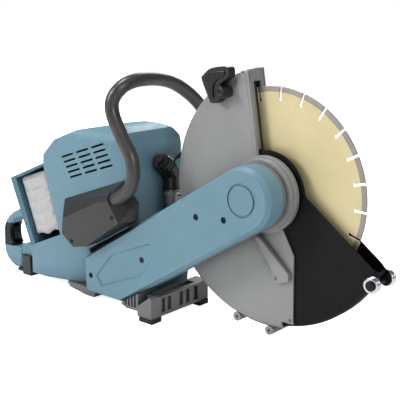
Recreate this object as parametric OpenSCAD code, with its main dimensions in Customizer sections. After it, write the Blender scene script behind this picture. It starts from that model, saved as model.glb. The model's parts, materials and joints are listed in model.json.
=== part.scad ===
// Battery rescue saw: a cut-off saw with a belt-driven abrasive disc on a
// forward arm, a turning disc guard with a retracting front cover, a wrap-round
// front handle, a rear pistol loop and a two-bay battery frame.
// X runs forward along the tool, Y to its left and Z up.

/* [Disc] */
// Diameter of the cutting disc
disc_d = 305; // [300:1:308]
// Number of rim segments, with a cooling slot between each two
segment_count = 24; // [18:1:28]
// Height of each rim segment
segment_h = 7.5; // [6:0.5:9]
// Thickness of the disc's core
core_t = 2.2; // [1.8:0.1:2.4]
// Bore of the disc
disc_bore_d = 25.4; // [25:0.1:25.8]

/* [Guard] */
// Outer radius of the guard's upper part
guard_r = 180; // [176:1:184]
// Outer radius of the guard's lower part
guard_low_r = 202; // [200:1:204]
// Half of the guard's width across the disc
guard_half_w = 18; // [17.5:0.5:19]
// Wall thickness of the guard
guard_wall = 2.5; // [2:0.1:2.6]
// Radius of the journal that the guard turns on
journal_r = 44; // [43:0.5:45]

/* [Arm] */
// Downward slope of the arm from the disc to the motor, in degrees
arm_slope = 31; // [30:0.5:32]
// Distance between the two pulley shafts
shaft_gap = 298; // [292:1:302]
// Pitch radius of the pulley on the disc's spindle
spindle_pulley_r = 30; // [28:1:32]
// Pitch radius of the pulley on the motor
motor_pulley_r = 20; // [18:1:22]
// How far the belt cover's outer face lies from the disc
cover_face_y = 79; // [77:1:81]

/* [Housing] */
// How far the housing reaches to the right of the disc's plane
body_right = 70; // [69:1:71]
// How far the housing reaches to the left of the disc's plane
body_left = 58; // [56:1:62]
// Wall thickness of the mouldings
wall = 3; // [2.5:0.5:3]

/* [Handles] */
// Outer diameter of the front handle's rubber sleeve
sleeve_d = 22; // [21:1:24]
// Outer diameter of the front handle's steel tube
tube_d = 18; // [16:1:19]
// Width of the rear handle
rear_w = 28; // [26:1:30]

/* [Feet] */
// Height of the disc's axis above the ground
axis_h = 228; // [226:1:230]

/* [Hidden] */

$fn = 64;
// Shared small clearances
run = 0.06;          // radial clearance of a running fit
gap = 0.4;           // clearance between pieces that move past each other
// The part's origin lies on the ground, under the middle of its outline
origin = [209.5, -37.75, axis_h];

disc_r = disc_d / 2;
core_r = disc_r - segment_h;
slot_w = 3;
slot_depth = 18;
bearing_r = 20;
bearing_w = 12;
shaft_r = 8.5;
seat_r = disc_bore_d / 2;
flange_r = 38;
bolt_r = 5;
arm_in = 36;         // the arm casting's inner face, right of the disc
arm_split = 44;      // where the belt cover meets the casting
motor_x = -shaft_gap * cos(arm_slope);
motor_z = -shaft_gap * sin(arm_slope);
stator_r = 34;
rotor_r = 23;
journal_end = 12;    // the journal ends this far right of the disc
cover_out = 14.8;    // outer faces of the retracting front cover
cover_wall = 2;
cover_r = guard_low_r - 3.2;
roller_x = 177;
roller_z = -98;
roller_r = 11.5;
seam_y = -6;         // parting plane of the housing mouldings
rear_y = -28;        // middle plane of the rear handle

// ---- shared shapes ----
module place() { translate(origin) children(); }

// Extrudes a side outline, drawn as (x, z), from y0 to y1
module slab(y0, y1) {
    translate([0, y1, 0]) rotate([90, 0, 0]) linear_extrude(y1 - y0) children();
}

// A cylinder along Y
module rod(x, z, r, y0, y1) {
    translate([x, y1, z]) rotate([90, 0, 0]) cylinder(r = r, h = y1 - y0);
}

module tube_y(x, z, r_out, r_in, y0, y1) {
    difference() {
        rod(x, z, r_out, y0, y1);
        rod(x, z, r_in, y0 - 1, y1 + 1);
    }
}

// Turns a profile, drawn as (radius, distance to the right), about the disc's axis.
// Angles run from straight ahead upwards.
module turned(a0, a1) {
    rotate([90, 0, 0]) rotate([0, 0, a0]) rotate_extrude(angle = a1 - a0) children();
}

function polar(r, a) = [r * cos(a), r * sin(a)];

// ---- the disc and its spindle ----
module cutting_disc() {
    color("#c9ba8c") place() difference() {
        rod(0, 0, core_r, -core_t / 2, core_t / 2);
        rod(0, 0, seat_r, -5, 5);
        for (i = [0 : segment_count - 1]) rotate([0, i * 360 / segment_count + 3, 0]) {
            translate([core_r - slot_depth + segment_h, -5, -slot_w / 2]) cube([slot_depth, 10, slot_w]);
            rod(core_r - slot_depth + segment_h, 0, slot_w * 0.8, -5, 5);
        }
    }
}

module disc_segments() {
    half_slot = asin(slot_w / 2 / core_r);
    pitch = 360 / segment_count;
    color("#968c8c") place() for (i = [0 : segment_count - 1])
        turned(i * pitch - 3 + half_slot, (i + 1) * pitch - 3 - half_slot)
            translate([core_r, -core_t / 2 - 0.4]) square([segment_h, core_t + 0.8]);
}

module inner_flange() {
    color("#8f9296") place() difference() {
        union() {
            rod(0, 0, flange_r, -5.1, -core_t / 2);
            rod(0, 0, 22, -10, -5.1);
        }
        rod(0, 0, seat_r, -20, 20);
    }
}

module outer_flange() {
    color("#8f9296") place() difference() {
        union() {
            rod(0, 0, flange_r, core_t / 2, 5.1);
            rod(0, 0, 24, 5.1, 9);
        }
        rod(0, 0, seat_r, -20, 6);
        rod(0, 0, bolt_r + 0.2, -20, 20);
    }
}

module disc_bolt() {
    color("#5a5d61") place() {
        rod(0, 0, 16, 9, 11.5);
        rod(0, 0, bolt_r, -18, 9);
        translate([0, 19, 0]) rotate([90, 0, 0]) cylinder(r = 9.8, h = 7.5, $fn = 6);
    }
}

module spindle() {
    color("#b5b8bc") place() difference() {
        union() {
            rod(0, 0, shaft_r, -74, -journal_end);
            rod(0, 0, seat_r, -journal_end, 4);
            rod(0, 0, 16, -journal_end, -10);
        }
        rod(0, 0, bolt_r, -18, 10);
    }
}

module pulley(x, z, r, y0, y1) {
    difference() {
        union() {
            rod(x, z, r - 1, y0 + 2, y1 - 2);
            rod(x, z, r + 3, y0, y0 + 2);
            rod(x, z, r + 3, y1 - 2, y1);
        }
        rod(x, z, shaft_r, y0 - 1, y1 + 1);
    }
}

module spindle_pulley() { color("#6b6f75") place() pulley(0, 0, spindle_pulley_r, -73, -55); }

module spindle_bearings() {
    color("#c2c5c9") place() for (y = [-52, -28])
        tube_y(0, 0, bearing_r, shaft_r + run, y, y + bearing_w);
}

// ---- the motor ----
module motor_stator() {
    color("#a4653a") place() tube_y(motor_x, motor_z, stator_r, rotor_r + 1, -16, 34);
}

module motor_rotor() {
    color("#8a8d92") place() {
        rod(motor_x, motor_z, shaft_r, -74, -20);
        rod(motor_x, motor_z, rotor_r, -20, 36);
        rod(motor_x, motor_z, shaft_r, 36, 46);
    }
}

module motor_fan() {
    color("#3a3c3f") place() {
        tube_y(motor_x, motor_z, 12, shaft_r, 36, 44);
        for (a = [0 : 45 : 315]) translate([motor_x, 0, motor_z]) rotate([0, a, 0])
            translate([11.5, 37, -1.2]) cube([21, 6, 2.4]);
    }
}

module motor_pulley() { color("#6b6f75") place() pulley(motor_x, motor_z, motor_pulley_r, -73, -55); }

module motor_bearings() {
    color("#c2c5c9") place() tube_y(motor_x, motor_z, bearing_r, shaft_r + run, -48, -36);
}

// A flat belt round both pulleys, just clear of them
module belt_outline(extra) {
    hull() {
        circle(spindle_pulley_r - 1 + gap + extra);
        translate([motor_x, motor_z]) circle(motor_pulley_r - 1 + gap + extra);
    }
}

module drive_belt() {
    color("#1c1c1e") place() slab(-70.5, -57.5) difference() {
        belt_outline(3);
        belt_outline(0);
    }
}

// ---- the arm ----
arm_rear = [[-304, -128], [-331, -146], [-331, -201], [-324, -207], [-246, -207], [-236, -200]];
module arm_outline(inset = 0) {
    offset(delta = -inset) hull() {
        circle(47);
        polygon(arm_rear);
    }
}

screw_sink = 4.6;     // depth of the cover screws' seats
panel_sink = 2.8;     // depth of the sunk panel
cover_panel = [[-262, -130], [-180, -98], [-170, -110], [-198, -150], [-290, -186], [-300, -172]];
cover_screw_spots = [[-315, -175], [-198, -126], [-83, -37], [-31, -33]];

module arm_frame() {
    color("#77797c") place() difference() {
        union() {
            slab(-arm_split, -arm_in) arm_outline();
            rod(0, 0, journal_r, -arm_in, -journal_end);
            rod(0, 0, bearing_r + 5, -52, -arm_split);
            rod(motor_x, motor_z, bearing_r + 5, -48, -arm_split);
        }
        rod(0, 0, 17, -60, 0);
        rod(0, 0, bearing_r, -52 - 1, -52 + bearing_w);
        rod(0, 0, bearing_r, -28, 0);
        rod(motor_x, motor_z, bearing_r, -48 - 1, 0);
        for (p = cover_screw_spots) rod(p[0], p[1], 2, -60, -arm_in - 1);
    }
}

module belt_cover() {
    rim = 8;
    edge = 4.5;
    color("#7ba2b0") place() difference() {
        union() {
            slab(-cover_face_y + rim - 0.5, -arm_split) arm_outline();
            // chamfered edge round the outer face
            hull() {
                slab(-cover_face_y + rim - 0.6, -cover_face_y + rim) arm_outline(0.02);
                slab(-cover_face_y, -cover_face_y + 0.5) arm_outline(edge);
            }
        }
        difference() {
            slab(-cover_face_y + wall, -arm_split + 1) arm_outline(edge + wall);
            for (p = cover_screw_spots) rod(p[0], p[1], 7, -cover_face_y, 0);
            // the wall behind the sunk panel
            slab(-cover_face_y, -cover_face_y + panel_sink + 1.7) offset(delta = 4) polygon(cover_panel);
        }
        for (p = cover_screw_spots) {
            rod(p[0], p[1], 2.4, -90, 0);
            rod(p[0], p[1], 5, -90, -cover_face_y + screw_sink);
        }
        // ring groove over the disc's axis
        difference() {
            rod(0, 0, 24.5, -90, -cover_face_y + 1.6);
            rod(0, 0, 21, -91, 0);
        }
        // sunk panel over the motor, with sloping sides
        hull() {
            slab(-90, -cover_face_y) offset(delta = 3) polygon(cover_panel);
            slab(-90, -cover_face_y + panel_sink) polygon(cover_panel);
        }
    }
}

module belt_cover_screws() {
    color("#3b3d40") place() for (p = cover_screw_spots) {
        rod(p[0], p[1], 4.4, -cover_face_y + screw_sink - 2.2, -cover_face_y + screw_sink);
        rod(p[0], p[1], 2, -cover_face_y + screw_sink, -arm_in - 1);
    }
}

// ---- the guard ----
// Where the upper and the lower part of the guard meet at the back
ramp_top = polar(guard_r, 190);
ramp_low = polar(guard_low_r, 205);
lip_low = [-15, 45];
lip_top = [-36, 176];
slot_right = 9;       // the slot's reach to the right and left of the disc, and the width its seal leaves free
slot_left = 7;
slot_free = 3.2;

module guard_upper_region() {
    polygon([[0, 0], lip_low, lip_top, [-38, 240], [-300, 240], [-300, -10], ramp_top]);
}

module guard_lower_region() {
    polygon([[0, 2], [35, -35], [48, -64], [50, -187], [30, -187], [30, -260], [-300, -260],
        [-300, -140], ramp_low, ramp_top + [0, 0.6]]);
}

// Cross-section of the right side wall, w from the middle, and the rim, as (radius, distance to the right)
module guard_section(r, shoulder, w, inner) {
    t = guard_wall;
    e = guard_half_w - t;
    polygon([[inner, w], [r - shoulder, w], [r - shoulder * 0.36, w - shoulder * 0.12],
        [r - shoulder * 0.1, w - shoulder * 0.35], [r, w - shoulder * 0.62], [r, -e],
        [r - t, -e], [r - t, w - shoulder * 0.62 - 0.5], [r - t - shoulder * 0.1, w - t - shoulder * 0.3],
        [r - t - shoulder * 0.34, w - t - shoulder * 0.1], [r - t - shoulder, w - t], [inner, w - t]]);
}

rim_bolt_spots = [polar(guard_r - 6.5, 104), polar(guard_r - 6.5, 150), polar(guard_r - 6.5, 187),
    polar(guard_low_r + 5, 255), polar(guard_low_r + 5, 272)];

module guard_shell() {
    w = guard_half_w;
    e = w - guard_wall;
    color("#9a9c9d") place() difference() {
        union() {
            intersection() {
                turned(80, 200) guard_section(guard_r, 22, w - 0.3, 34);
                slab(-30, 30) guard_upper_region();
            }
            intersection() {
                turned(187, 300) guard_section(guard_low_r, 10, w, 30);
                slab(-30, 30) guard_lower_region();
            }
            // the wall of the ramp between the two radii
            slab(-w + 0.6, e - 0.3) polygon([ramp_top + [2.4, 4], ramp_top + [-0.2, 3], ramp_low + [-0.6, -3],
                ramp_low + [2, -4]]);
            // front lip with the slot that the disc leaves through
            slab(-w + 0.8, e - 0.4) polygon([lip_low + [-0.8, 1], lip_top + [-0.6, -1], lip_top - [3.6, 1],
                lip_low - [3.8, 0]]);
            for (i = [0 : 2]) rod(rim_bolt_spots[i][0], rim_bolt_spots[i][1], 5, -6, e - 0.2);
            for (i = [3, 4]) rod(rim_bolt_spots[i][0], rim_bolt_spots[i][1], 7, -w + 0.7, e - 0.2);
        }
        rod(0, 0, journal_r + run, -40, 0);
        rod(0, 0, 65, -e + 0.1, w);
        translate([-80, -slot_right, 30]) cube([90, slot_right + slot_left, 128]);
        for (i = [0 : 2]) rod(rim_bolt_spots[i][0], rim_bolt_spots[i][1], 2, -3, 40);
        for (i = [3, 4]) rod(rim_bolt_spots[i][0], rim_bolt_spots[i][1], 2, -40, 40);
    }
}

module guard_hub_ring() {
    color("#8d8f91") place() difference() {
        union() {
            rod(0, 0, 56, -27, -guard_half_w);
            rod(0, 0, 52, -34, -27);
        }
        rod(0, 0, journal_r + run, -50, 0);
    }
}

module guard_left_plate() {
    w = guard_half_w;
    t = guard_wall;
    color("#9a9c9d") place() difference() {
        union() {
            slab(w - t, w - 0.2) intersection() { circle(guard_r); guard_upper_region(); }
            slab(w - t, w) intersection() { circle(guard_low_r); guard_lower_region(); }
            for (i = [3, 4]) rod(rim_bolt_spots[i][0], rim_bolt_spots[i][1], 7, w - t, w - 0.1);
        }
        rod(0, 0, 58, 0, 40);
        for (p = rim_bolt_spots) rod(p[0], p[1], 2, -40, 40);
    }
}

module guard_bolts() {
    color("#55585b") place() for (p = rim_bolt_spots) {
        rod(p[0], p[1], 1.9, -2, guard_half_w);
        rod(p[0], p[1], 4, guard_half_w, guard_half_w + 3);
    }
}

module guard_stop_rail() {
    color("#8d8f91") place() slab(-26, -guard_half_w)
        polygon([[-16, -66], [-10, -62], [45, -110], [45, -121], [25, -130], [19, -126], [17, -112]]);
}

module slot_seal() {
    lean = atan2(lip_top[0] - lip_low[0], lip_top[1] - lip_low[1]);
    // one strip fills each side of the slot, clear of the disc
    color("#161617") place() translate([lip_low[0], 0, lip_low[1]]) rotate([0, lean, 0])
        for (side = [[-slot_right + 0.1, -slot_free], [slot_free, slot_left - 0.1]])
            translate([-4.2, side[0], 3]) cube([3.2, side[1] - side[0], 109.5]);
}

lever_x = -72;        // centre of the lever's boss, as x and z
lever_high = 142;
lever_boss_r = 7.6;

module guard_lever() {
    w = guard_half_w;
    color("#4a4a4c") place() difference() {
        union() {
            // near leg against the guard's right face
            slab(-w - 16, -w) polygon([[-111, 158], [-108, 164], [-103, 169], [-95, 174], [-83, 177],
                [-68, 179], [-62, 176], [-60, 170], [-62, 163], [-71, 157], [-79, 151], [-82, 143],
                [-80, 130], [-84, 125], [-91, 124], [-96, 128]]);
            rod(lever_x, lever_high, lever_boss_r + 2.8, -w - 16, -w);
            // arched bridge over the rim
            turned(115, 125) polygon([[guard_r + 0.5, w], [guard_r + 0.5, 2], [guard_r + 7, 0],
                [guard_r + 11, 5], [guard_r + 11, w], [guard_r + 9, w + 8], [guard_r + 0.5, w + 8]]);
        }
        rod(lever_x, lever_high, lever_boss_r + 0.1, -50, 0);
    }
}

module lever_boss() {
    color("#141415") place() {
        rod(lever_x, lever_high, lever_boss_r, -37, -guard_half_w);
        for (a = [0 : 60 : 300]) translate([lever_x, 0, lever_high]) rotate([0, a, 0])
            rod(lever_boss_r - 2.4, 0, 1.5, -39, -37);
    }
}

// ---- the retracting front cover ----
module front_cover_region() {
    polygon([[19, 37], [67, 1], [230, -121.25], [230, -260], [-46, -260], [-8, -45]]);
}

module front_cover_half() {
    o = cover_out;
    t = cover_wall;
    r = cover_r;
    difference() {
        union() {
            intersection() {
                turned(-115, 10) polygon([[61, o], [r - 11, o], [r - 3, o - 3], [r, o - 7], [r, 0],
                    [r - t, 0], [r - t, o - 7.6], [r - t - 1.8, o - 4.6], [r - t - 9.6, o - t], [61, o - t]]);
                slab(-20, 20) front_cover_region();
            }
            slab(-o + 0.2, -o + t - 0.2) {
                translate([roller_x, roller_z]) circle(9);
                polygon([[184, -88], [150, -63.5], [150, -116], [172, -106]]);
            }
        }
        rod(roller_x, roller_z, 4, -30, 0);
    }
}

module front_cover_right() {
    color("#19191b") place() {
        front_cover_half();
        tube_y(0, 0, 62.5, journal_r + run, -cover_out + 0.3, -cover_out + cover_wall - 0.3);
    }
}

module front_cover_left() { color("#19191b") place() mirror([0, 1, 0]) front_cover_half(); }

module roller_axle() {
    color("#2a2a2c") place() {
        rod(roller_x, roller_z, 4, -26.5, 26.5);
        rod(roller_x, roller_z, 6.5, -28.5, -26.5);
        rod(roller_x, roller_z, 6.5, 26.5, 28.5);
    }
}

module roller() {
    tube_y(roller_x, roller_z, roller_r, 4 + run, -26, -cover_out - 0.5);
}

module right_roller() { color("#cfd1d4") place() roller(); }
module left_roller() { color("#cfd1d4") place() mirror([0, 1, 0]) roller(); }

// ---- the housing ----
// Side outline of the upper housing, as (x, z)
upper_profile = [[-401, -122], [-440, -5], [-438, 14], [-408, 42], [-352, 64], [-292, 74], [-258, 75],
    [-242, 68], [-235, 54], [-235, -82], [-336, -138]];
base_profile = [[-401, -122.3], [-336, -138.3], [-235, -82.3], [-224, -94], [-216, -150], [-222, -200],
    [-240, -208], [-545, -208], [-546, -206], [-546, -172], [-505, -164], [-480, -155]];
// Plan outline of the base housing, as (x, y); the arm lies in the step at its right front
base_plan = [[-560, -42], [-506, -42], [-484, -body_right + 2], [-336, -body_right + 2], [-336, -arm_in],
    [-200, -arm_in], [-200, body_left], [-484, body_left], [-506, -14], [-560, -14]];

// Cross-section of the upper housing, as (y, z), with rounded shoulders
module upper_section(inset = 0) {
    hull() {
        translate([-body_right + 26, 49]) circle(26 - inset);
        translate([body_left - 40, 36]) circle(40 - inset);
        translate([-body_right + inset, -160]) square([body_right + body_left - 2 * inset, 100]);
    }
}

module upper_solid(inset = 0) {
    intersection() {
        slab(-100, 100) offset(delta = -inset) polygon(upper_profile);
        translate([-500, 0, 0]) rotate([90, 0, 90]) linear_extrude(400) upper_section(inset);
    }
}

vent_rows = 5;
vent_columns = 3;
module vent_slots(y0, y1) {
    for (c = [0 : vent_columns - 1], r = [0 : vent_rows - 1])
        translate([-389 + c * 37 + r * 5, y0, 13 + c * 12 - r * 8])
            rotate([0, -18, 0]) cube([31, y1 - y0, 3.4]);
}

module right_half() { translate([-700, -200, -300]) cube([700, 200 + seam_y, 500]); }
module left_half() { translate([-700, seam_y, -300]) cube([700, 200, 500]); }

module upper_shell() {
    difference() {
        upper_solid();
        upper_solid(wall);
    }
}

module upper_housing_right() {
    color("#7ba2b0") place() difference() {
        intersection() { upper_shell(); right_half(); }
        vent_slots(-body_right - 2, -body_right + 8);
    }
}

module upper_housing_left() {
    color("#7ba2b0") place() difference() {
        intersection() { upper_shell(); left_half(); }
        vent_slots(body_left - 8, body_left + 2);
    }
}

// Region cut off the right flank where it slopes inwards, towards the arm's rear end; the crease leans back
crease = [-364, -141];
crease_lean = 39.4;
flank_slope = 0.42;
module sloped_flank_cut(inset = 0) {
    face_y = -body_right + 2 + inset * norm([1, flank_slope]);
    translate([crease[0], 0, crease[1]]) rotate([0, 90 - crease_lean, 0]) translate([0, 0, -150])
        linear_extrude(250) polygon([[-12, face_y - 12 * flank_slope], [72, face_y + 72 * flank_slope],
            [72, -120], [-12, -120]]);
}

module base_solid(inset = 0) {
    difference() {
        intersection() {
            slab(-100, 100) offset(delta = -inset) polygon(base_profile);
            translate([0, 0, -300]) linear_extrude(300) offset(delta = -inset) polygon(base_plan);
        }
        sloped_flank_cut(inset);
    }
}

module base_shell() {
    difference() {
        base_solid();
        base_solid(wall);
        // shaft opening towards the arm
        rod(motor_x, motor_z, 26, -60, -20);
    }
}

module base_housing_right() {
    color("#7ba2b0") place() intersection() { base_shell(); right_half(); }
}

module base_housing_left() { color("#7ba2b0") place() intersection() { base_shell(); left_half(); } }

// ---- the battery bays ----
bay_lean = atan2(39, 117);           // lean of the bay's front edge from upright
hinge_low = [-407.5, -119];          // lower end of the door hinge, as (x, z)
door_y = 60;                         // inner face of the right door, right of the disc
door_h = 112;

module battery_frame() {
    color("#5f8ea3") place() {
        // rear wall and top rail
        slab(-body_right, body_left) polygon([[-534, -40], [-483, -156.2], [-471.5, -151.4], [-518.4, -39.2],
            [-439.8, -6.5], [-440.6, -2.2]]);
        // middle wall between the two bays
        slab(seam_y - 2, seam_y + 2)
            polygon([[-527, -42], [-478, -153.3], [-401.4, -122], [-440.1, -5]]);
    }
}

module battery_terminals() {
    color("#2a2c2e") place() for (y = [-46, 8])
        translate([-426.16, y, -43.39]) rotate([0, 90 - bay_lean, 0]) translate([0, 0, -12])
            cube([60, 30, 11]);
}

module door_frame_turn() {
    translate([hinge_low[0], 0, hinge_low[1]]) rotate([0, -bay_lean, 0]) children();
}

// The door lies in the x-z plane of the leaning frame, widening upwards as the bay does
module battery_door() {
    low = 69;
    high = 76;
    difference() {
        union() {
            slab(-door_y - 3, -door_y) polygon([[-low, 2], [-high, door_h - 4.5], [0, door_h], [0, 2],
                [-20, -3], [-44, 3], [-56, 0]]);
            translate([0, -door_y - 1.5, 4]) cylinder(r = 3.4, h = door_h - 6);
            for (z = [14 : 18 : 90]) translate([-low + 5, -door_y - 5.5, z]) cube([low - 13, 2.6, 9]);
        }
        translate([0, -door_y - 1.5, -15]) cylinder(r = 1.5 + run, h = door_h + 40);
    }
}

module right_battery_door() { color("#e2dddd") place() door_frame_turn() battery_door(); }

module left_battery_door() {
    color("#e2dddd") place() translate([0, body_left - body_right, 0]) mirror([0, 1, 0])
        door_frame_turn() battery_door();
}

module door_hinge_pins() {
    color("#8f9296") place() door_frame_turn() {
        translate([0, -door_y - 1.5, -2.5]) cylinder(r = 1.5, h = door_h + 6);
        translate([0, door_y + 1.5 + body_left - body_right, -2.5]) cylinder(r = 1.5, h = door_h + 6);
    }
}

module motor_controller() {
    color("#2f3134") place() translate([-390, -50, -60]) difference() {
        cube([120, 90, 34]);
        for (x = [8 : 10 : 108]) translate([x, -1, 22]) cube([5, 92, 20]);
    }
}

// ---- the front handle ----
// Route of the handle's centre line, from the right bracket over the top to the left one
handle_points = [[-266, -88, -47], [-250, -88, -38], [-236, -88, -31], [-220, -88, -21],
    [-207, -88, -7], [-201, -88, 12], [-205, -88, 38], [-225, -88, 68], [-243, -88, 100],
    [-245, -86, 122], [-237, -76, 140], [-232, -56, 149], [-230, -28, 151], [-230, 0, 149],
    [-229, 30, 142], [-228, 60, 127], [-228, 90, 106], [-229, 118, 78], [-232, 142, 42], [-236, 160, 0],
    [-242, 167, -36], [-254, 160, -66], [-272, 136, -86], [-292, 106, -93], [-312, 78, -94]];

function mix(p, t) =
    let (a = p[0], b = p[1], c = p[2], d = p[3])
    0.5 * ((2 * b) + (c - a) * t + (2 * a - 5 * b + 4 * c - d) * t * t + (3 * b - a - 3 * c + d) * t * t * t);
function at(points, i) = points[max(0, min(len(points) - 1, i))];
function smooth_route(points, steps) = concat(
    [for (i = [0 : len(points) - 2], k = [0 : steps - 1])
        mix([for (j = [-1 : 2]) at(points, i + j)], k / steps)],
    [points[len(points) - 1]]);
function unit(v) = v / norm(v);
function heading(r, i) = unit(at(r, i + 1) - at(r, i - 1));
// Carries one sideways direction along the route without twisting it
function carried(r, i, s) = let (t = heading(r, i)) unit(s - (s * t) * t);
function sideways(r, i = 0, s = [0, 0.2, 1], out = []) =
    i == len(r) ? out : let (n = carried(r, i, s)) sideways(r, i + 1, n, concat(out, [n]));
function ring(r, i, n, radius, sides) =
    let (t = heading(r, i), b = cross(t, n))
    [for (k = [0 : sides - 1]) r[i] + radius * (cos(360 * k / sides) * n + sin(360 * k / sides) * b)];

// A round bar swept along a route; a bore of radius r_in runs through it when r_in is above 0
module swept(route, r_out, r_in, sides) {
    n = sideways(route);
    rings = len(route);
    shells = r_in > 0 ? [r_out, r_in] : [r_out];
    points = [for (s = shells, i = [0 : rings - 1]) each ring(route, i, n[i], s, sides)];
    inner = rings * sides;
    last = (rings - 1) * sides;
    outer_faces = [for (i = [0 : rings - 2], k = [0 : sides - 1]) let (q = (k + 1) % sides)
        each [[i * sides + k, (i + 1) * sides + k, (i + 1) * sides + q],
            [i * sides + k, (i + 1) * sides + q, i * sides + q]]];
    inner_faces = r_in > 0 ? [for (f = outer_faces) [f[0] + inner, f[2] + inner, f[1] + inner]] : [];
    end_faces = r_in > 0
        ? [for (k = [0 : sides - 1]) let (q = (k + 1) % sides)
            each [[k, q, q + inner, k + inner],
                [last + q, last + k, last + k + inner, last + q + inner]]]
        : [[for (k = [0 : sides - 1]) k], [for (k = [sides - 1 : -1 : 0]) last + k]];
    polyhedron(points, concat(outer_faces, inner_faces, end_faces));
}

handle_route = smooth_route(handle_points, 3);

module handle_tube() { color("#6a6c6f") place() swept(handle_route, tube_d / 2, tube_d / 2 - 2, 16); }
module handle_sleeve() {
    sleeve_route = [for (i = [4 : len(handle_route) - 3]) handle_route[i]];
    color("#373536") place() swept(sleeve_route, sleeve_d / 2, tube_d / 2 + 0.05, 16);
}

module side_bracket() {
    color("#464446") place() difference() {
        union() {
            hull() {
                slab(-100, -98) polygon([[-357, -80], [-252, -31], [-246, -46], [-224, -66], [-304, -119],
                    [-333, -125], [-361, -106]]);
                slab(-body_right - 1, -body_right) polygon([[-384, -56], [-240, -5], [-208, -36],
                    [-211, -66], [-306, -119], [-338, -127], [-372, -112]]);
            }
            translate([-262, -88, -42]) rotate([0, 68, 0]) cylinder(r = 14.5, h = 19);
        }
        // socket for the end of the handle
        swept([for (i = [0 : 14]) handle_route[i]], tube_d / 2 + 0.1, 0, 16);
        swept([for (i = [3 : 14]) handle_route[i]], sleeve_d / 2 + 0.3, 0, 16);
    }
}

module bracket_screws() {
    color("#232426") place() for (p = [[-337, -116], [-240, -60]])
        rod(p[0], p[1], 3.4, -101.4, -100);
}

module left_bracket() {
    color("#464446") place() difference() {
        hull() {
            slab(body_left, body_left + 1)
                polygon([[-354, -112], [-352, -72], [-284, -66], [-274, -92], [-282, -112]]);
            slab(body_left + 26, body_left + 28)
                polygon([[-334, -108], [-332, -80], [-298, -76], [-290, -94], [-296, -108]]);
        }
        swept([for (i = [len(handle_route) - 10 : len(handle_route) - 1]) handle_route[i]],
            tube_d / 2 + 0.1, 0, 16);
        swept([for (i = [len(handle_route) - 12 : len(handle_route) - 3]) handle_route[i]],
            sleeve_d / 2 + 0.3, 0, 16);
    }
}

// ---- the rear handle ----
trigger_x = -589;
trigger_z = -147;
lock_x = -601;
lock_z = -150;
grip_recess = 7;     // half the width of the recesses for the trigger and the lock-off lever

// Stacks an outline in three layers, so that the handle's section is rounded
module rounded_slab() {
    h = rear_w / 2;
    for (layer = [[-h, -h + 3, 8], [-h + 3, -h + 6, 3.5], [-h + 6, h - 6, 0], [h - 6, h - 3, 3.5],
        [h - 3, h, 8]])
        slab(rear_y + layer[0], rear_y + layer[1]) offset(delta = -layer[2]) children();
}

module loop_outline() {
    polygon([[-508.4, -100], [-530, -100], [-556, -107], [-575, -116], [-588, -125], [-598, -137],
        [-604, -150], [-606, -180], [-604, -196], [-597, -208], [-585, -218], [-572, -222], [-558, -222], [-546, -216],
        [-546, -176], [-562, -181], [-578, -177], [-582, -170], [-582, -150], [-578, -140], [-567, -130],
        [-550, -123], [-530, -119], [-500.7, -118]]);
}

module grip_outline() {
    polygon([[-596, -142], [-585, -132], [-560, -132], [-560, -176], [-585, -190], [-596, -182]]);
}

module rear_handle() {
    color("#7ba2b0") place() difference() {
        rounded_slab() loop_outline();
        slab(rear_y - 30, rear_y + 30) grip_outline();
        translate([-620, rear_y - grip_recess, -184]) cube([22, 2 * grip_recess, 40]);
        rod(lock_x, lock_z, 1.5, rear_y - 11.5, rear_y + 11.5);
    }
}

module rear_grip() {
    color("#2d2d30") place() difference() {
        intersection() {
            rounded_slab() loop_outline();
            slab(rear_y - 30, rear_y + 30) offset(delta = -0.05) grip_outline();
        }
        translate([-594.5, rear_y - grip_recess, -178]) cube([30, 2 * grip_recess, 40]);
        rod(trigger_x, trigger_z, 1.5, rear_y - 11.5, rear_y + 11.5);
    }
}

module trigger() {
    w = grip_recess - 0.4;
    color("#1c1c1e") place() difference() {
        union() {
            rod(trigger_x, trigger_z, 4.5, rear_y - w, rear_y + w);
            slab(rear_y - w, rear_y + w) polygon([[-591, -148], [-586, -143.2], [-579, -146], [-575, -156],
                [-576, -168], [-580, -174], [-585, -175], [-587, -160]]);
        }
        rod(trigger_x, trigger_z, 1.5 + run, -60, 10);
    }
}

module lock_off_lever() {
    w = grip_recess - 0.5;
    color("#1c1c1e") place() difference() {
        union() {
            rod(lock_x, lock_z, 2.6, rear_y - w, rear_y + w);
            slab(rear_y - w, rear_y + w)
                polygon([[-603.4, -149], [-600, -149], [-601.5, -180], [-607, -178], [-607.5, -158]]);
        }
        rod(lock_x, lock_z, 1.5 + run, -60, 10);
    }
}

module lever_pins() {
    color("#8f9296") place() for (p = [[trigger_x, trigger_z], [lock_x, lock_z]])
        rod(p[0], p[1], 1.5, rear_y - 11.5, rear_y + 11.5);
}

// ---- feet and skids ----
module rear_foot() {
    color("#1b1b1c") place() {
        translate([-541, -48, -axis_h]) cube([24, 6, 38]);
        translate([-541, -42, -axis_h]) cube([24, 32, 20]);
        translate([-566, -40, -axis_h]) cube([25, 28, 5.8]);
    }
}

module middle_skid() {
    color("#3a393a") place() slab(-60, 42)
        polygon([[-400, -208.1], [-392, -217], [-352, -223], [-330, -223], [-322, -208.1]]);
}

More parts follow.
